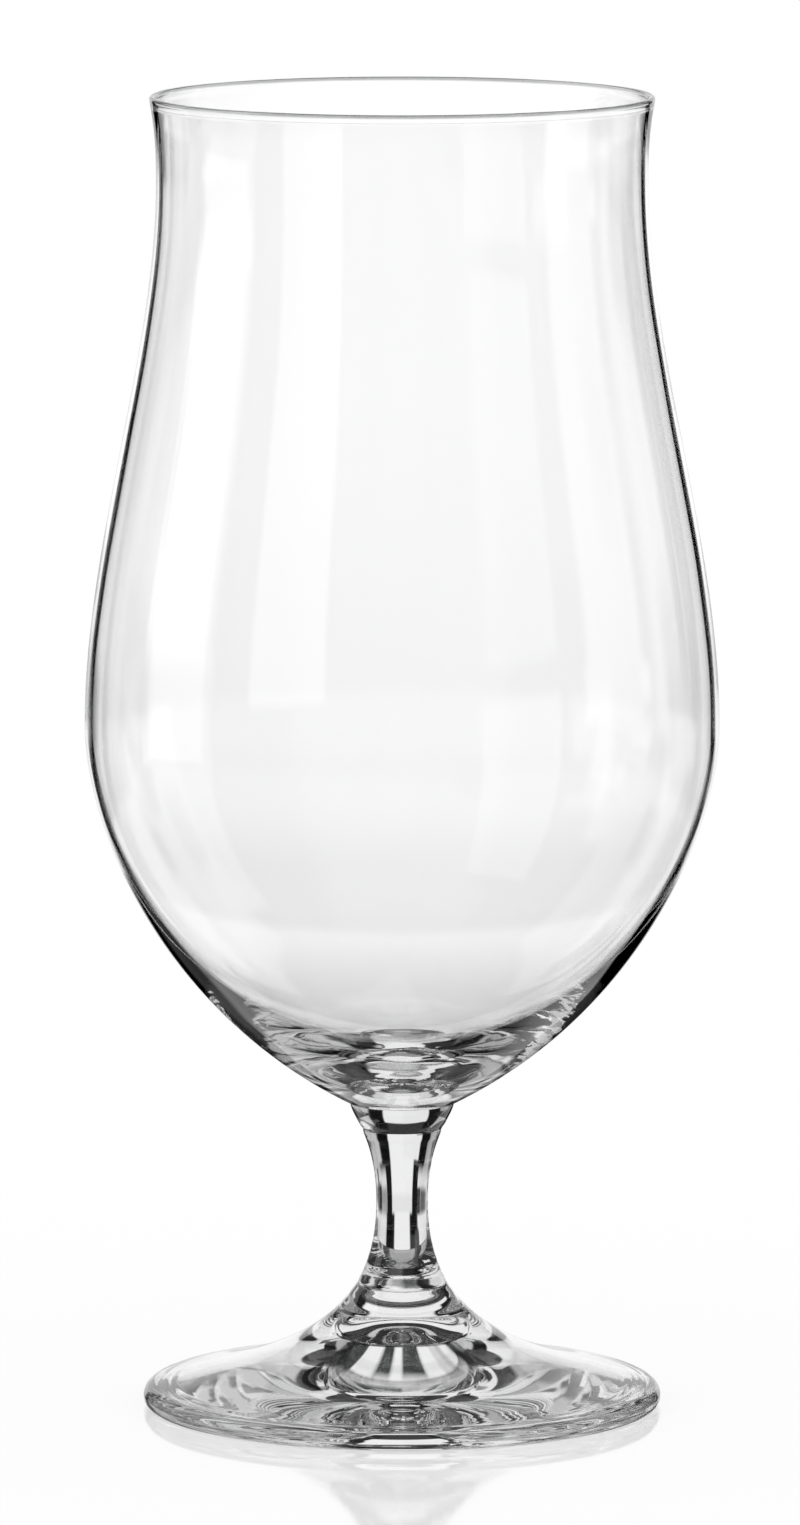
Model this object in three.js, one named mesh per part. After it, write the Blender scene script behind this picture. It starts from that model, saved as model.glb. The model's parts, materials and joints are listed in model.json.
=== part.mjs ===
// A footed tulip beer glass, in millimetres, with +Z up and the origin at the centre of its base.
// Three pieces are fused end to end while hot: a pressed foot, a drawn stem and a blown bowl.
// Each is a solid of revolution, and each seam is a flat disc that the two pieces share.
import * as THREE from 'three';

// The foot's edge and the flat ring that it rests on
const footRadius = 35.8;
const edgeLowerRound = 1.3;
const edgeUpperRound = 1.8;
const restingWidth = 3;

// The hollow under the foot: a dish that steepens towards the hub, closed at its top by a low dome
const dishDepth = 7;
const domeRadius = 7;
const domeDepth = 2;

// The outside of the hub and stem, above the foot's edge
const waistRadius = 3.57;
const hubRise = 25.2;
const flareRise = 13.9;
const creaseRadius = 7.2;
const footSeamHeight = 17;
const bowlSeamDrop = 3.5;

// The outside of the bowl, above the crease where it meets the stem
const bellyRadius = 43.65;
const bellyRise = 52.6;
const neckRadius = 33.65;
const shoulderRise = 75;
const lipRadius = 34.6;
const mouthRise = 12.2;
const lipRound = 0.7;

// The wall of the bowl, which thickens towards its base
const neckWall = 1.1;
const bellyWall = 1.3;
const baseWall = 5.5;

// How far each end's handle reaches along a curve, as shares of the curve's width and height
const domeShares = { start: [0.5, 0], end: [0.35, 0.2] };
const dishShares = { start: [0.15, 0.6], end: [0.5, 0.2] };
const hubShares = { start: [0.7, 0.17], end: [0, 0.57] };
const flareShares = { start: [0, 0.645], end: [0.063, 0.139] };
const lowerBowlShares = { start: [0.722, 0.254], end: [0, 0.256] };
const shoulderShares = { start: [0, 0.333], end: [0, 0.318] };
const mouthShares = { start: [0, 0.46], end: [0.665, 0.29] };
const cavityShares = { start: [0.57, 0], end: [0, 0.449] };

// Smoothness: facets round the axis, and steps along each curve of an outline
const facets = 56;
const cornerSteps = 3;
const domeSteps = 5;
const dishSteps = 10;
const hubSteps = 11;
const flareSteps = 6;
const lowerBowlSteps = 11;
const shoulderSteps = 9;
const mouthSteps = 4;
const lipSteps = 6;
const seamSearchSteps = 50;

// Heights above the table
const edgeHeight = edgeLowerRound + edgeUpperRound;
const waistHeight = edgeHeight + hubRise;
const creaseHeight = waistHeight + flareRise;
const bowlSeamHeight = creaseHeight - bowlSeamDrop;
const bellyHeight = creaseHeight + bellyRise;
const neckHeight = bellyHeight + shoulderRise;
const lipHeight = neckHeight + mouthRise - lipRound;
const cavityHeight = creaseHeight + baseWall;

// The lip is a fire-polished bead, wrapped this far below its middle on both sides
const lipWrap = Math.PI / 6;
const lipCentreRadius = lipRadius - lipRound;
const lipHalfWall = lipRound * Math.cos(lipWrap);
const lipStartHeight = lipHeight - lipRound * Math.sin(lipWrap);

function at(radius, height) {
  return new THREE.Vector2(radius, height);
}

// A cubic curve between two points, with its handles given as shares of the span between them
function sweep(start, shares, end) {
  const span = end.clone().sub(start);
  const startHandle = start.clone().add(span.clone().multiply(at(...shares.start)));
  const endHandle = end.clone().sub(span.clone().multiply(at(...shares.end)));
  return new THREE.CubicBezierCurve(start, startHandle, endHandle, end);
}

function arc(centre, radius, startAngle, endAngle) {
  return new THREE.EllipseCurve(centre.x, centre.y, radius, radius, startAngle, endAngle);
}

// The share of the way along a rising curve at which it reaches a height
function shareAtHeight(curve, height) {
  let low = 0;
  let high = 1;
  for (let step = 0; step < seamSearchSteps; step++) {
    const middle = (low + high) / 2;
    if (curve.getPoint(middle).y < height) low = middle;
    else high = middle;
  }
  return low;
}

// Points along part of a curve, from one share of it to another
function pointsBetween(curve, from, to, steps) {
  return Array.from({ length: steps + 1 }, (_, step) => curve.getPoint(from + ((to - from) * step) / steps));
}

// Joins runs of points end to end, keeping one of each pair that meet
function joined(...runs) {
  return runs.reduce((outline, run) => [...outline, ...run.slice(1)]);
}

// A closed solid turned from an outline that runs from the axis, out, up and back to the axis
function turned(name, outline, material) {
  const geometry = new THREE.LatheGeometry(outline, facets);
  geometry.rotateX(Math.PI / 2);
  const mesh = new THREE.Mesh(geometry, material);
  mesh.name = name;
  return mesh;
}

function clearGlass(colour, roughness) {
  return new THREE.MeshStandardMaterial({ color: colour, roughness, metalness: 0, transparent: true, opacity: 0.35 });
}

// The outside curves that cross a seam are cut there, so both sides share one radius
const edgeTop = at(footRadius - edgeUpperRound, edgeHeight);
const waist = at(waistRadius, waistHeight);
const crease = at(creaseRadius, creaseHeight);
const hubCurve = sweep(edgeTop, hubShares, waist);
const flareCurve = sweep(waist, flareShares, crease);
const footSeamShare = shareAtHeight(hubCurve, footSeamHeight);
const bowlSeamShare = shareAtHeight(flareCurve, bowlSeamHeight);
const footSeam = at(hubCurve.getPoint(footSeamShare).x, footSeamHeight);
const bowlSeam = at(flareCurve.getPoint(bowlSeamShare).x, bowlSeamHeight);

function footOutline() {
  const restOuter = footRadius - edgeLowerRound;
  const restInner = at(restOuter - restingWidth, 0);
  const domeRim = at(domeRadius, dishDepth);
  const domeTop = at(0, dishDepth + domeDepth);
  const dome = sweep(domeTop, domeShares, domeRim);
  const dish = sweep(domeRim, dishShares, restInner);
  const lowerEdge = arc(at(restOuter, edgeLowerRound), edgeLowerRound, -Math.PI / 2, 0);
  const upperEdge = arc(at(footRadius - edgeUpperRound, edgeLowerRound), edgeUpperRound, 0, Math.PI / 2);
  return joined(
    dome.getPoints(domeSteps),
    dish.getPoints(dishSteps),
    [restInner, at(restOuter, 0)],
    lowerEdge.getPoints(cornerSteps),
    upperEdge.getPoints(cornerSteps),
    pointsBetween(hubCurve, 0, footSeamShare, hubSteps),
    [footSeam, at(0, footSeamHeight)],
  );
}

function stemOutline() {
  return joined(
    [at(0, footSeamHeight), footSeam],
    pointsBetween(hubCurve, footSeamShare, 1, flareSteps),
    pointsBetween(flareCurve, 0, bowlSeamShare, flareSteps),
    [bowlSeam, at(0, bowlSeamHeight)],
  );
}

function bowlOutline() {
  const belly = at(bellyRadius, bellyHeight);
  const neck = at(neckRadius, neckHeight);
  const lipOutside = at(lipCentreRadius + lipHalfWall, lipStartHeight);
  const lipInside = at(lipCentreRadius - lipHalfWall, lipStartHeight);
  const neckInside = at(neckRadius - neckWall, neckHeight);
  const bellyInside = at(bellyRadius - bellyWall, bellyHeight);
  const lip = arc(at(lipCentreRadius, lipHeight), lipRound, -lipWrap, Math.PI + lipWrap);
  const outside = [
    pointsBetween(flareCurve, bowlSeamShare, 1, cornerSteps),
    sweep(crease, lowerBowlShares, belly).getPoints(lowerBowlSteps),
    sweep(belly, shoulderShares, neck).getPoints(shoulderSteps),
    sweep(neck, mouthShares, lipOutside).getPoints(mouthSteps),
  ];
  const inside = [
    sweep(at(0, cavityHeight), cavityShares, bellyInside).getPoints(lowerBowlSteps),
    sweep(bellyInside, shoulderShares, neckInside).getPoints(shoulderSteps),
    sweep(neckInside, mouthShares, lipInside).getPoints(mouthSteps),
  ];
  return joined(
    [at(0, bowlSeamHeight), bowlSeam],
    ...outside,
    lip.getPoints(lipSteps),
    joined(...inside).reverse(),
  );
}

const glass = new THREE.Group();
glass.add(turned('foot', footOutline(), clearGlass(0xe9eeee, 0.05)));
glass.add(turned('stem', stemOutline(), clearGlass(0xdfe5e5, 0.03)));
glass.add(turned('bowl', bowlOutline(), clearGlass(0xf3f6f6, 0.02)));

export default glass;
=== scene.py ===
# A footed tulip beer glass, dressed in clear glass on a glossy white table in a photographer's studio
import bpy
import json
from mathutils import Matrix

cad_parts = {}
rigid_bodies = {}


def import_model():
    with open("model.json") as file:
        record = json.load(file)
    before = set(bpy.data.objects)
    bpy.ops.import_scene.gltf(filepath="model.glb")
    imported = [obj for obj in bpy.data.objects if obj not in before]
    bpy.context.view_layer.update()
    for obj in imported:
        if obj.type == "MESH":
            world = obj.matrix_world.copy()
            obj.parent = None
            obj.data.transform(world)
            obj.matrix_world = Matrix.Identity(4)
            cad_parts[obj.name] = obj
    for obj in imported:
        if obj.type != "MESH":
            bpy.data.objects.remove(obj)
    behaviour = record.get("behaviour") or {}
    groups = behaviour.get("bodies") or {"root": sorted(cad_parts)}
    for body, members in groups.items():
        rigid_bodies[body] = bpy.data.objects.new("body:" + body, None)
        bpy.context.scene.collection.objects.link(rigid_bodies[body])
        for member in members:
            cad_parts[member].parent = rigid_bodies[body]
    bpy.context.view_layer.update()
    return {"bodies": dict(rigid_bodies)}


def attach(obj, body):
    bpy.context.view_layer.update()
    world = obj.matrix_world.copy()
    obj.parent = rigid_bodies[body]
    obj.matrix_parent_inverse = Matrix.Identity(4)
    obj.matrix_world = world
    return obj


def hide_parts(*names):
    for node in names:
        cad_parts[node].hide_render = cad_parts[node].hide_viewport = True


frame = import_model()

import bpy
import json
import math

scene = bpy.context.scene
bodyName = next(iter(frame["bodies"]))
millimetre = 0.001
quarterTurn = 90
halfTurn = 180
white = (1, 1, 1, 1)


class Wire:
    # A node's output, which turns Python arithmetic into Math nodes
    def __init__(self, graph, socket):
        self.graph = graph
        self.socket = socket

    def also(self, name):  # another output of the same node
        return Wire(self.graph, self.socket.node.outputs[name])

    def math(self, operation, *others):
        return self.graph.math(operation, self, *others)

    def __add__(self, other):
        return self.graph.math("ADD", self, other)

    def __radd__(self, other):
        return self.graph.math("ADD", other, self)

    def __sub__(self, other):
        return self.graph.math("SUBTRACT", self, other)

    def __rsub__(self, other):
        return self.graph.math("SUBTRACT", other, self)

    def __mul__(self, other):
        return self.graph.math("MULTIPLY", self, other)

    def __rmul__(self, other):
        return self.graph.math("MULTIPLY", other, self)

    def __truediv__(self, other):
        return self.graph.math("DIVIDE", self, other)

    def __rtruediv__(self, other):
        return self.graph.math("DIVIDE", other, self)

    def __abs__(self):
        return self.graph.math("ABSOLUTE", self)

    def __lt__(self, other):
        return self.graph.math("LESS_THAN", self, other)


class Graph:
    # A node tree: every node takes its settings first, then the values or links of its sockets
    def __init__(self, tree):
        self.tree = tree

    def add(self, kind, settings=None, sockets=None, output=0):
        node = self.tree.nodes.new(kind)
        for name, value in (settings or {}).items():
            setattr(node, name, value)
        for name, value in (sockets or {}).items():
            if isinstance(value, Wire):
                self.tree.links.new(value.socket, node.inputs[name])
            else:
                node.inputs[name].default_value = value
        return Wire(self, node.outputs[output]) if node.outputs else node

    def math(self, operation, *terms):
        return self.add("ShaderNodeMath", {"operation": operation}, dict(enumerate(terms)))

    def softStep(self, value, low, high):  # 0 below low and 1 above high, with a smooth rise between
        return self.add(
            "ShaderNodeMapRange",
            {"interpolation_type": "SMOOTHSTEP"},
            {"Value": value, "From Min": low, "From Max": high},
        )


def emptyTree(owner):
    owner.use_nodes = True
    owner.node_tree.nodes.clear()
    return Graph(owner.node_tree)


# The shapes: each outline runs from the axis out, up and back to the axis, in millimetres
def sweep(start, shares, end, steps):
    # A cubic curve whose handles are shares of the span between its ends, as radius and height
    span = [b - a for a, b in zip(start, end)]
    handleA = [a + s * k for a, s, k in zip(start, span, shares["start"])]
    handleB = [b - s * k for b, s, k in zip(end, span, shares["end"])]
    points = []
    for step in range(steps + 1):
        t = step / steps
        u = 1 - t
        points.append(
            tuple(
                u * u * u * a + 3 * u * u * t * p + 3 * u * t * t * q + t * t * t * b
                for a, p, q, b in zip(start, handleA, handleB, end)
            )
        )
    return points


def arc(centre, radius, fromAngle, toAngle, steps):
    angles = [math.radians(fromAngle + (toAngle - fromAngle) * step / steps) for step in range(steps + 1)]
    return [(centre[0] + radius * math.cos(a), centre[1] + radius * math.sin(a)) for a in angles]


def joined(*runs):
    # Joins runs of points end to end, keeping one of each pair that meet
    outline = list(runs[0])
    for run in runs[1:]:
        outline += run[1:]
    return outline


def cutAt(points, height):
    # Splits a rising run of points at a height, with the cut point in both halves
    for index in range(1, len(points)):
        (r0, z0), (r1, z1) = points[index - 1], points[index]
        if z0 <= height < z1:
            cut = (r0 + (r1 - r0) * (height - z0) / (z1 - z0), height)
            return points[:index] + [cut], [cut] + points[index:]
    raise ValueError("the cut is outside the run")


footSizes = {
    "radius": 35.8,
    "lowerRound": 1.3,
    "upperRound": 1.8,
    "restingWidth": 3,
    "dishDepth": 7,
    "domeRadius": 7,
    "domeDepth": 2,
    "seamHeight": 17,
    "dishShares": {"start": (0.15, 0.6), "end": (0.5, 0.2)},
    "domeShares": {"start": (0.5, 0), "end": (0.35, 0.2)},
    "cornerSteps": 10,
    "curveSteps": 26,
}
stemSizes = {
    "waistRadius": 3.57,
    "waistHeight": 28.3,
    "hubShares": {"start": (0.7, 0.17), "end": (0, 0.57)},
    "flareShares": {"start": (0, 0.645), "end": (0.063, 0.139)},
    "curveSteps": 96,
    "lowerRing": {"depth": 0.12, "width": 0.5},
    "upperRing": {"depth": 0.15, "width": 0.5},
}
bowlSizes = {
    "seamHeight": 38.7,
    "creaseRadius": 7.2,
    "creaseHeight": 42.2,
    "bellyRadius": 43.65,
    "bellyHeight": 94.8,
    "neckRadius": 33.65,
    "neckHeight": 169.8,
    "lipRadius": 34.6,
    "lipHeight": 181,
    "lipRound": 0.45,
    "lipWrap": 30,
    "neckWall": 1.1,
    "bellyWall": 1.3,
    "baseWall": 5.5,
    "lowerShares": {"start": (0.722, 0.254), "end": (0, 0.256)},
    "shoulderShares": {"start": (0, 0.333), "end": (0, 0.318)},
    "mouthShares": {"start": (0, 0.46), "end": (0.665, 0.29)},
    "cavityShares": {"start": (0.57, 0), "end": (0, 0.449)},
    "lowerSteps": 44,
    "shoulderSteps": 36,
    "mouthSteps": 10,
    "lipSteps": 16,
}

edgeTop = (footSizes["radius"] - footSizes["upperRound"], footSizes["lowerRound"] + footSizes["upperRound"])
waist = (stemSizes["waistRadius"], stemSizes["waistHeight"])
crease = (bowlSizes["creaseRadius"], bowlSizes["creaseHeight"])


def ringed(points, height, ring):
    # A shallow ring is left round the outside where two pieces were fused
    return [(r - ring["depth"] * math.exp(-(((z - height) / ring["width"]) ** 2)), z) for r, z in points]


hubRun = sweep(edgeTop, stemSizes["hubShares"], waist, stemSizes["curveSteps"])
hubRun = ringed(hubRun, footSizes["seamHeight"], stemSizes["lowerRing"])
flareRun = sweep(waist, stemSizes["flareShares"], crease, stemSizes["curveSteps"])
flareRun = ringed(flareRun, bowlSizes["seamHeight"], stemSizes["upperRing"])
hubBelow, hubAbove = cutAt(hubRun, footSizes["seamHeight"])
flareBelow, flareAbove = cutAt(flareRun, bowlSizes["seamHeight"])


def footOutline(sizes):
    restOuter = sizes["radius"] - sizes["lowerRound"]
    restInner = restOuter - sizes["restingWidth"]
    domeRim = (sizes["domeRadius"], sizes["dishDepth"])
    domeTop = (0, sizes["dishDepth"] + sizes["domeDepth"])
    upperCentre = (edgeTop[0], sizes["lowerRound"])
    return joined(
        sweep(domeTop, sizes["domeShares"], domeRim, sizes["curveSteps"]),
        sweep(domeRim, sizes["dishShares"], (restInner, 0), sizes["curveSteps"]),
        [(restInner, 0), (restOuter, 0)],
        arc((restOuter, sizes["lowerRound"]), sizes["lowerRound"], -quarterTurn, 0, sizes["cornerSteps"]),
        arc(upperCentre, sizes["upperRound"], 0, quarterTurn, sizes["cornerSteps"]),
        hubBelow,
        [hubBelow[-1], (0, sizes["seamHeight"])],
    )


def stemOutline():
    return joined(
        [(0, hubAbove[0][1]), hubAbove[0]],
        hubAbove,
        flareBelow,
        [flareBelow[-1], (0, flareBelow[-1][1])],
    )


def bowlOutline(sizes):
    wrap = math.radians(sizes["lipWrap"])
    lipCentre = (sizes["lipRadius"] - sizes["lipRound"], sizes["lipHeight"])
    lipReach = sizes["lipRound"] * math.cos(wrap)
    lipStart = sizes["lipHeight"] - sizes["lipRound"] * math.sin(wrap)
    belly = (sizes["bellyRadius"], sizes["bellyHeight"])
    neck = (sizes["neckRadius"], sizes["neckHeight"])
    bellyIn = (belly[0] - sizes["bellyWall"], belly[1])
    neckIn = (neck[0] - sizes["neckWall"], neck[1])
    cavity = (0, crease[1] + sizes["baseWall"])
    outside = joined(
        flareAbove,
        sweep(crease, sizes["lowerShares"], belly, sizes["lowerSteps"]),
        sweep(belly, sizes["shoulderShares"], neck, sizes["shoulderSteps"]),
        sweep(neck, sizes["mouthShares"], (lipCentre[0] + lipReach, lipStart), sizes["mouthSteps"]),
    )
    inside = joined(
        sweep(cavity, sizes["cavityShares"], bellyIn, sizes["lowerSteps"]),
        sweep(bellyIn, sizes["shoulderShares"], neckIn, sizes["shoulderSteps"]),
        sweep(neckIn, sizes["mouthShares"], (lipCentre[0] - lipReach, lipStart), sizes["mouthSteps"]),
    )
    lipEnd = halfTurn + sizes["lipWrap"]
    lip = arc(lipCentre, sizes["lipRound"], -sizes["lipWrap"], lipEnd, sizes["lipSteps"])
    return joined([(0, flareAbove[0][1]), flareAbove[0]], outside, lip, inside[::-1])


# Turning an outline into a solid, as a lathe would, with its lengths in metres and its angle in degrees
turning = {"facets": 256, "mergeWithin": 0.000001, "seamWithin": 0.00001, "noSeam": -1, "sharpAngle": 40}


def makeTurningTree():
    tree = bpy.data.node_groups.new("turnedGlass", "GeometryNodeTree")
    for name, kind in (
        ("Outline", "Geometry"),
        ("Facets", "Int"),
        ("Lower seam", "Float"),
        ("Upper seam", "Float"),
        ("Glass", "Material"),
        ("Fused seam", "Material"),
    ):
        tree.interface.new_socket(name, in_out="INPUT", socket_type="NodeSocket" + kind)
    tree.interface.new_socket("Turned", in_out="OUTPUT", socket_type="NodeSocketGeometry")
    graph = Graph(tree)
    given = graph.add("NodeGroupInput", output="Outline")
    facets = given.also("Facets")
    columns = facets + 1
    count = graph.add("GeometryNodeAttributeDomainSize", None, {"Geometry": given}, "Point Count")
    grid = graph.add("GeometryNodeMeshGrid", None, {"Vertices X": count, "Vertices Y": columns})
    index = graph.add("GeometryNodeInputIndex")
    along = (index / columns).math("FLOOR")
    turn = (index - along * columns) / facets * (2 * math.pi)
    place = graph.add("GeometryNodeInputPosition")
    profile = graph.add(
        "GeometryNodeSampleIndex",
        {"data_type": "FLOAT_VECTOR", "domain": "POINT"},
        {"Geometry": given, "Value": place, "Index": along},
    )
    radius = graph.add("ShaderNodeSeparateXYZ", None, {0: profile}, "X")
    ring = graph.add(
        "ShaderNodeCombineXYZ",
        None,
        {"X": radius * turn.math("COSINE"), "Y": radius * turn.math("SINE"), "Z": radius.also("Z")},
    )
    shaped = graph.add("GeometryNodeSetPosition", None, {"Geometry": grid, "Position": ring})
    within = turning["mergeWithin"]
    closed = graph.add("GeometryNodeMergeByDistance", None, {"Geometry": shaped, "Distance": within})
    outward = graph.add("GeometryNodeFlipFaces", None, {"Mesh": closed})
    smooth = graph.add("GeometryNodeSetShadeSmooth", None, {"Geometry": outward})
    real = graph.add("GeometryNodeRealizeInstances", None, {"Geometry": smooth})
    glassy = graph.add("GeometryNodeSetMaterial", None, {"Geometry": real, "Material": given.also("Glass")})
    height = graph.add("ShaderNodeSeparateXYZ", None, {0: place}, "Z")
    onLower = abs(height - given.also("Lower seam")) < turning["seamWithin"]
    onUpper = abs(height - given.also("Upper seam")) < turning["seamWithin"]
    onSeam = onLower.math("MAXIMUM", onUpper)
    seamed = graph.add(
        "GeometryNodeSetMaterial",
        None,
        {"Geometry": glassy, "Selection": onSeam, "Material": given.also("Fused seam")},
    )
    graph.add("NodeGroupOutput", None, {"Turned": seamed})
    return tree


def turnPiece(name, outline, glass, seams):
    # Runs the turning tree on an outline and keeps the result as a plain mesh
    mesh = bpy.data.meshes.new(name + "Outline")
    points = [(r * millimetre, 0, z * millimetre) for r, z in outline]
    mesh.from_pydata(points, [(i, i + 1) for i in range(len(points) - 1)], [])
    source = bpy.data.objects.new(name + "Outline", mesh)
    scene.collection.objects.link(source)
    modifier = source.modifiers.new("turning", "NODES")
    modifier.node_group = turningTree
    values = {
        "Facets": turning["facets"],
        "Lower seam": seams[0] * millimetre,
        "Upper seam": seams[1] * millimetre,
        "Glass": glass,
        "Fused seam": fusedSeam,
    }
    for item in turningTree.interface.items_tree:
        if item.in_out == "INPUT" and item.name in values:
            modifier[item.identifier] = values[item.name]
    bpy.context.view_layer.update()
    graph = bpy.context.evaluated_depsgraph_get()
    made = bpy.data.meshes.new_from_object(source.evaluated_get(graph), depsgraph=graph)
    made.name = name
    source.modifiers.remove(modifier)
    bpy.data.objects.remove(source)
    made.set_sharp_from_angle(angle=math.radians(turning["sharpAngle"]))
    piece = bpy.data.objects.new(name, made)
    scene.collection.objects.link(piece)
    return piece


# The glass of each piece, with the height of its ripples in millimetres. Thick glass is painted greyer than
# the thin wall, as painted shade, and the bowl's thick base gets painted shade of its own
glassLook = {
    "bowlClear": {
        "tint": (0.995, 0.995, 0.995, 1),
        "shade": (0.987, 0.988, 0.988, 1),
        "ripple": 0.02,
        "base": 1,
    },
    "stemClear": {
        "tint": (0.84, 0.842, 0.842, 1),
        "shade": (0.81, 0.812, 0.812, 1),
        "ripple": 0.02,
        "base": 0,
    },
    "footClear": {
        "tint": (0.85, 0.852, 0.852, 1),
        "shade": (0.82, 0.822, 0.822, 1),
        "ripple": 0.03,
        "base": 0,
    },
}
glassKind = {
    "ior": 1.52,
    "bloom": 0.01,
    "cloudScale": 0.024,
    "rippleScale": 0.07,
    "swirlScale": 0.16,
    "detail": 1,
}
# Below, the places are heights and radii in millimetres.
# Light that runs along the wall comes out at the lip, which makes its top look grey
lipLook = {"from": 180.85, "to": 181.15, "tone": (0.36, 0.37, 0.37, 1)}
# The thick base of the bowl was stirred a little as it was blown, and its tone darkens it as painted shade
baseLook = {"full": 50, "gone": 62, "tone": (0.8, 0.802, 0.802, 1), "swirl": 0.07}
# The press left fine lines round the foot's edge
edgeLook = {
    "from": 29,
    "to": 32,
    "full": 3,
    "gone": 4.5,
    "around": 1.2,
    "lines": 2.2,
    "tilt": 0.6,
    "height": 0.07,
}
# Painted shade: dark streaks are painted running down from the middle of the hollow under the hub
domePaintedShade = {
    "reach": 16,
    "fade": 4,
    "lean": 0.4,
    "full": 11.5,
    "gone": 12.5,
    "around": 4,
    "low": 0.44,
    "high": 0.54,
    "tone": (0.004, 0.0045, 0.0045, 1),
}


def makeGlass(name, look):
    material = bpy.data.materials.new(name)
    graph = emptyTree(material)
    place = graph.add("ShaderNodeTexCoord", output="Object")
    spot = graph.add("ShaderNodeVectorMath", {"operation": "SCALE"}, {0: place, "Scale": 1 / millimetre})
    x = graph.add("ShaderNodeSeparateXYZ", None, {0: spot}, "X")
    y, height = x.also("Y"), x.also("Z")
    radius = (x * x + y * y).math("SQRT")

    def noise(where, scale=1, detail=0):
        return graph.add("ShaderNodeTexNoise", None, {"Vector": where, "Scale": scale, "Detail": detail})

    def roundWith(spread, third):  # a place that repeats round the axis without a seam
        return graph.add(
            "ShaderNodeCombineXYZ", None, {"X": x / radius * spread, "Y": y / radius * spread, "Z": third}
        )

    def mixed(factor, a, b):
        sockets = {"Factor": factor, "A": a, "B": b}
        return graph.add("ShaderNodeMix", {"data_type": "RGBA"}, sockets, "Result")

    cloud = noise(spot, glassKind["cloudScale"], glassKind["detail"])
    colour = mixed(cloud, look["tint"], look["shade"])
    inBase = (1 - graph.softStep(height, baseLook["full"], baseLook["gone"])) * look["base"]
    # painted shade: the thick base of the bowl is darkened
    colour = mixed(inBase, colour, baseLook["tone"])
    colour = mixed(graph.softStep(height, lipLook["from"], lipLook["to"]), colour, lipLook["tone"])
    # painted shade: dark streaks in the hollow under the hub
    paintedShadeStreaks = graph.softStep(noise(roundWith(domePaintedShade["around"], 0)), domePaintedShade["low"], domePaintedShade["high"])
    inDome = 1 - graph.softStep(radius, domePaintedShade["reach"] - domePaintedShade["fade"], domePaintedShade["reach"])
    under = height + radius * domePaintedShade["lean"]
    inDome = inDome * (1 - graph.softStep(under, domePaintedShade["full"], domePaintedShade["gone"]))
    colour = mixed(inDome * paintedShadeStreaks, colour, domePaintedShade["tone"])
    unevenness = noise(spot, glassKind["rippleScale"]) * look["ripple"]
    swirls = noise(spot, glassKind["swirlScale"], glassKind["detail"])
    unevenness = unevenness + swirls * inBase * baseLook["swirl"]
    onEdge = graph.softStep(radius, edgeLook["from"], edgeLook["to"])
    onEdge = onEdge * (1 - graph.softStep(height, edgeLook["full"], edgeLook["gone"]))
    lines = noise(roundWith(edgeLook["around"], (height + radius * edgeLook["tilt"]) * edgeLook["lines"]))
    unevenness = unevenness + lines * onEdge * edgeLook["height"]
    bump = graph.add("ShaderNodeBump", None, {"Strength": 1, "Distance": millimetre, "Height": unevenness})
    shader = graph.add(
        "ShaderNodeBsdfPrincipled",
        None,
        {
            "Base Color": colour,
            "Roughness": cloud * glassKind["bloom"],
            "IOR": glassKind["ior"],
            "Transmission Weight": 1,
            "Normal": bump,
        },
    )
    graph.add("ShaderNodeOutputMaterial", None, {"Surface": shader})
    return material


def makeFusedSeam():
    # The two faces of a fused seam are one glass, so light goes straight through them
    material = bpy.data.materials.new("fusedSeam")
    graph = emptyTree(material)
    clear = graph.add("ShaderNodeBsdfTransparent")
    graph.add("ShaderNodeOutputMaterial", None, {"Surface": clear})
    return material


turningTree = makeTurningTree()
fusedSeam = makeFusedSeam()
glasses = {name: makeGlass(name, look) for name, look in glassLook.items()}
lower, upper, none = footSizes["seamHeight"], bowlSizes["seamHeight"], turning["noSeam"]
pieces = {
    "bowl": turnPiece("blownBowl", bowlOutline(bowlSizes), glasses["bowlClear"], (upper, none)),
    "stem": turnPiece("drawnStem", stemOutline(), glasses["stemClear"], (lower, upper)),
    "foot": turnPiece("pressedFoot", footOutline(footSizes), glasses["footClear"], (lower, none)),
}
for node, piece in pieces.items():
    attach(piece, bodyName)
    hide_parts(node)
    print(f"{piece.name}: {len(piece.data.polygons)} faces, replaces {node}")


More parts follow.
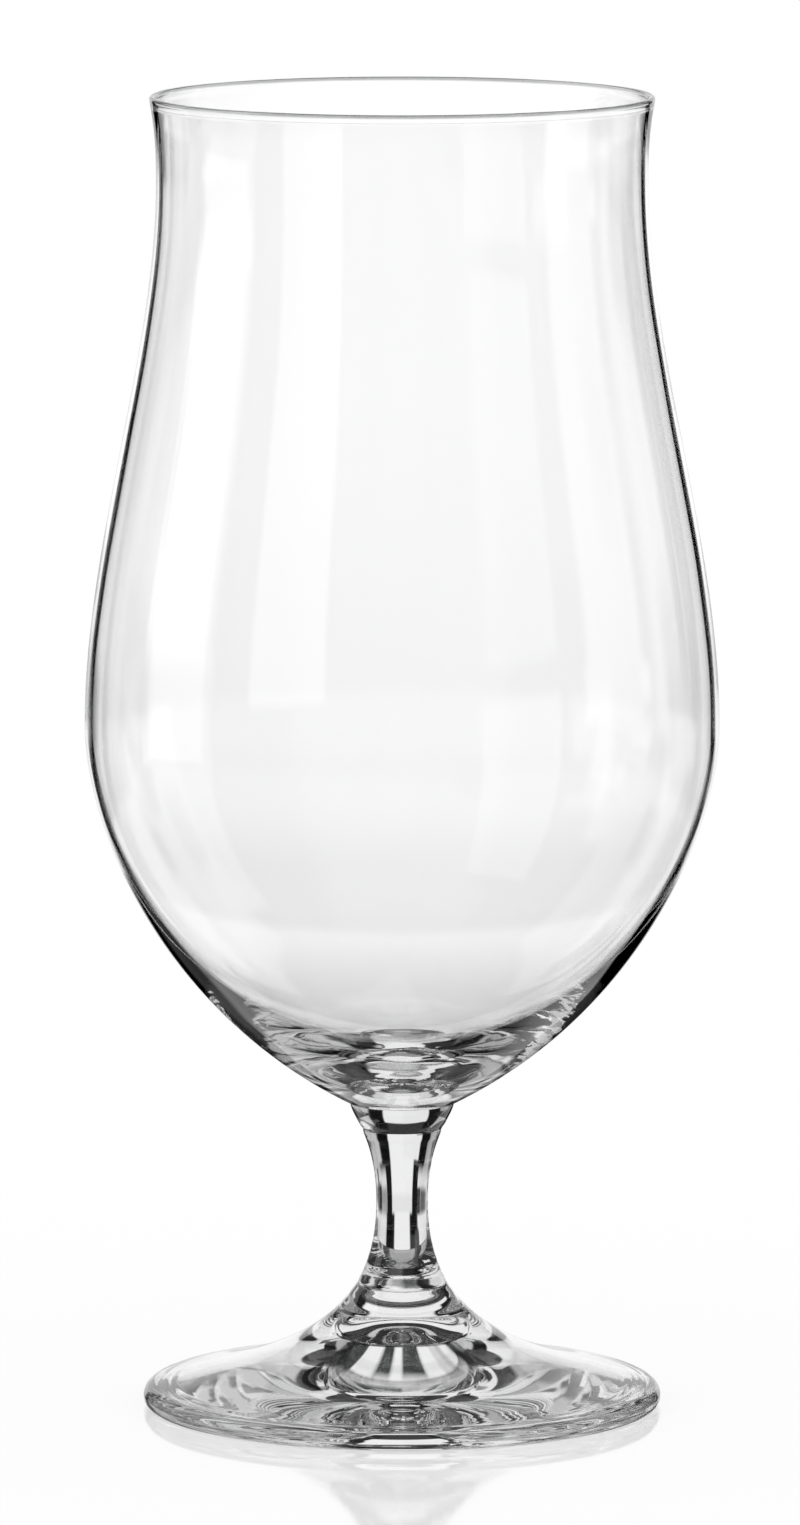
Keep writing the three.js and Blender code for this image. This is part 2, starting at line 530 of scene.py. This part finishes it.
# The camera sees plain white, and the glass sees dim walls with lit panels and black flags on them.
# Each panel covers the ones before it. It reaches so many degrees to both sides of around, where 0 is
# straight past the glass and 90 is to the left, and from low to high above the horizon. One with a from
# leaves out its middle, and one without an around goes all the way round
studio = {
    "seenThroughWalls": 0.03,
    "seenThrough": (
        {"around": 180, "to": 40, "low": -60, "high": 60, "tone": 0.15, "soft": 8},
        {"around": 0, "to": 66, "low": 4, "high": 45, "tone": 0.04, "soft": 4},
        {"around": -60, "to": 21, "low": -5, "high": 40, "tone": 0.6, "soft": 3},
        {"around": -73, "to": 6, "low": 13, "high": 28, "tone": 0.06, "soft": 2},
        {"around": 46, "to": 10, "low": -2, "high": 36, "tone": 0.5, "soft": 3},
        {"around": -38, "to": 6, "low": 6, "high": 30, "tone": 0.7, "soft": 2},
        {"around": 0, "to": 66, "low": -28, "high": 2, "tone": 0.9, "soft": 4},
        {"around": 46, "to": 12, "low": -14, "high": -5, "tone": 0.15, "soft": 2},
        {"around": -33, "to": 7, "low": -14, "high": -5, "tone": 0.4, "soft": 2},
        {"around": -52, "to": 12, "low": -14, "high": -3, "tone": 0.02, "soft": 2},
        {"around": -51, "to": 3, "low": -6, "high": 5, "tone": 0.02},
        {"around": 89, "to": 15, "low": -50, "high": -8, "tone": 1.1, "soft": 2},
        {"around": 77, "to": 8, "low": -10, "high": 8, "tone": 1.1},
        {"around": -81, "to": 20, "low": -30, "high": -11, "tone": 1.1, "soft": 3},
        {"around": 0, "to": 90, "low": -60, "high": -20, "tone": 0.85, "soft": 2},
        {"around": -46, "to": 5, "low": -52, "high": -37, "tone": 0.02, "soft": 2},
        {"around": -66, "to": 6, "low": -30, "high": -18, "tone": 0.25, "soft": 2},
        {"around": 19.5, "to": 7.5, "low": -32, "high": -13, "tone": 0},
        {"around": -19.5, "to": 7.5, "low": -32, "high": -13, "tone": 0},
        {"around": 21, "to": 5, "low": -20, "high": 4, "tone": 0},
        {"around": -21, "to": 5, "low": -20, "high": 4, "tone": 0},
        {"around": 28, "to": 5.5, "low": -14, "high": -5, "tone": 0},
        {"around": 30, "to": 8, "low": 5, "high": 32, "tone": 0, "soft": 2},
        {"around": -22, "to": 8, "low": 4, "high": 32, "tone": 0, "soft": 2},
        {"around": 0, "to": 11, "low": -62, "high": -12, "tone": 1.08},
        {"around": 0, "to": 15.5, "low": -12, "high": 21, "tone": 0.98},
        {"around": 0, "to": 15.5, "low": -7.5, "high": 21, "tone": 1.1, "soft": 1.5},
        {"around": 12, "to": 11, "low": 6, "high": 21, "tone": 1.05},
        {"around": 0, "from": 19, "to": 36, "low": -62, "high": -44, "tone": 0.05, "soft": 2},
        {"around": 0, "to": 19, "low": -75, "high": -44, "tone": 0.42, "soft": 3},
        {"low": -95, "high": -62, "tone": 0.08, "soft": 4},
        {"around": 0, "to": 14, "low": -73, "high": -62, "tone": 0.6, "soft": 2},
        {"around": -8, "to": 18, "low": 50, "high": 95, "tone": 0.7, "soft": 2},
        {"around": 30, "to": 9, "low": -44, "high": -20, "tone": 0.1, "soft": 2},
        {"around": -30, "to": 9, "low": -44, "high": -33, "tone": 0.1, "soft": 2},
        {"around": 90, "to": 15.5, "low": -10, "high": 3, "tone": 1.05},
        {"around": 90, "to": 9, "low": 3, "high": 15, "tone": 0.6},
        {"around": -135, "to": 15.5, "low": -45, "high": 1, "tone": 1.05},
        {"around": 45, "to": 15.5, "low": -42, "high": -15, "tone": 1.05},
        {"around": 90, "from": 15, "to": 22, "low": -6, "high": 0, "tone": 0.1, "soft": 2},
        {"around": -135, "from": 16, "to": 24, "low": -20, "high": -11, "tone": 0.1, "soft": 2},
        {"around": 45, "from": 16, "to": 22, "low": -31, "high": -22, "tone": 0.1, "soft": 2},
    ),
    "reflectedWalls": 0.1,
    "reflected": (
        {"around": 180, "to": 40, "low": -60, "high": 60, "tone": 0.4, "soft": 8},
        {"around": 0, "to": 64, "low": -50, "high": -4, "tone": 0.8, "soft": 4},
        {"around": 89, "to": 14, "low": -10, "high": 60, "tone": 1.2},
        {"around": -107, "to": 9, "low": -25, "high": 0, "tone": 1.2, "soft": 3},
        {"around": 22, "to": 5.5, "low": -28, "high": 2, "tone": 0},
        {"around": -24.5, "to": 4, "low": -28, "high": 2, "tone": 0},
        {"around": 0, "from": 14, "to": 24, "low": -36, "high": -12, "tone": 0},
        {"around": 14, "to": 14, "low": -28, "high": -13, "tone": 0, "soft": 2},
        {"around": -14, "to": 14, "low": -28, "high": -13, "tone": 0, "soft": 2},
        {"around": 45, "to": 12, "low": 12, "high": 38, "tone": 1},
        {"around": -135, "to": 14, "low": 5, "high": 26, "tone": 1},
        {"around": 0, "to": 16, "low": -5, "high": 30, "tone": 0.75},
        {"around": 0, "to": 20, "low": -5, "high": 17, "tone": 1},
        {"around": -135, "from": 14, "to": 27, "low": -22, "high": -8, "tone": 0.1, "soft": 3},
        {"around": 45, "from": 14, "to": 27, "low": -34, "high": -19, "tone": 0.1, "soft": 3},
    ),
    "soft": 1,
}


def addPanels(graph, turn, rise, light, panels, edge):
    for panel in panels:
        soft = panel.get("soft", edge)  # half the width of its faded edge
        cover = graph.softStep(rise, panel["low"] - soft, panel["low"] + soft)
        cover = cover * graph.softStep(rise, panel["high"] + soft, panel["high"] - soft)
        if "around" in panel:
            away = abs((turn - panel["around"]).math("WRAP", halfTurn, -halfTurn))
            cover = cover * graph.softStep(away, panel["to"] + soft, panel["to"] - soft)
            if "from" in panel:
                cover = cover * graph.softStep(away, panel["from"] - soft, panel["from"] + soft)
        light = light + cover * (panel["tone"] - light)
    return light


def makeStudio(values):
    graph = emptyTree(scene.world)
    towards = graph.add("ShaderNodeTexCoord", output="Generated")
    east = graph.add("ShaderNodeSeparateXYZ", None, {0: towards}, "X")
    turn = (0 - east).math("ARCTAN2", east.also("Y")) * (halfTurn / math.pi)
    rise = east.also("Z").math("ARCSINE") * (halfTurn / math.pi)
    through, reflected = (
        addPanels(graph, turn, rise, values[name + "Walls"], values[name], values["soft"])
        for name in ("seenThrough", "reflected")
    )
    refracted = graph.add("ShaderNodeLightPath", output="Is Transmission Ray")
    # A ray that leaves slightly rough glass counts as both kinds
    mirrored = refracted.also("Is Glossy Ray") * (1 - refracted)
    strength = 1 - refracted * (1 - through) - mirrored * (1 - reflected)
    background = graph.add("ShaderNodeBackground", None, {"Color": white, "Strength": strength})
    graph.add("ShaderNodeOutputWorld", None, {"Surface": background})


if scene.world is None:
    scene.world = bpy.data.worlds.new("studioWalls")
makeStudio(studio)


# The table is white and glossy. Only the camera sees it, so the glass sees the panels below the horizon too
tableLook = {"halfSize": 8, "drop": 0.00002, "glow": 0.8, "gloss": 0.28, "roughness": 0.06}


def makeTable(look):
    half = look["halfSize"]
    mesh = bpy.data.meshes.new("glossyTable")
    corners = [(-half, -half), (half, -half), (half, half), (-half, half)]
    mesh.from_pydata([(x, y, -look["drop"]) for x, y in corners], [], [(0, 1, 2, 3)])
    table = bpy.data.objects.new("glossyTable", mesh)
    scene.collection.objects.link(table)
    material = bpy.data.materials.new("glossyWhite")
    graph = emptyTree(material)
    matt = graph.add("ShaderNodeBsdfDiffuse", None, {"Color": white})
    glow = graph.add("ShaderNodeEmission", None, {"Color": white, "Strength": 1})
    pale = graph.add("ShaderNodeMixShader", None, {0: look["glow"], 1: matt, 2: glow})
    gloss = graph.add("ShaderNodeBsdfGlossy", None, {"Color": white, "Roughness": look["roughness"]})
    glossy = graph.add("ShaderNodeMixShader", None, {0: look["gloss"], 1: pale, 2: gloss})
    clear = graph.add("ShaderNodeBsdfTransparent")
    seen = graph.add("ShaderNodeLightPath", output="Is Camera Ray")
    shown = graph.add("ShaderNodeMixShader", None, {0: seen, 1: clear, 2: glossy})
    graph.add("ShaderNodeOutputMaterial", None, {"Surface": shown})
    mesh.materials.append(material)


makeTable(tableLook)
print("studio and table are set")

# The camera stands where the photographer's did
cameraPlace = {"x": -0.00029, "y": -1.6081, "z": 0.3064, "pitch": 7.68, "lens": 278.4, "sensor": 36}
cameraData = bpy.data.cameras.new("photographer")
cameraData.lens = cameraPlace["lens"]
cameraData.sensor_width = cameraPlace["sensor"]
camera = bpy.data.objects.new("photographer", cameraData)
scene.collection.objects.link(camera)
camera.location = (cameraPlace["x"], cameraPlace["y"], cameraPlace["z"])
camera.rotation_euler = (math.radians(quarterTurn - cameraPlace["pitch"]), 0, 0)
scene.camera = camera
print("camera is set")

scene.view_settings.view_transform = "Standard"
# Light turns many times inside thick glass before it comes out
bounces = {
    "max_bounces": 40,
    "transmission_bounces": 40,
    "glossy_bounces": 24,
    "transparent_max_bounces": 40,
}
for kind, count in bounces.items():
    setattr(scene.cycles, kind, count)
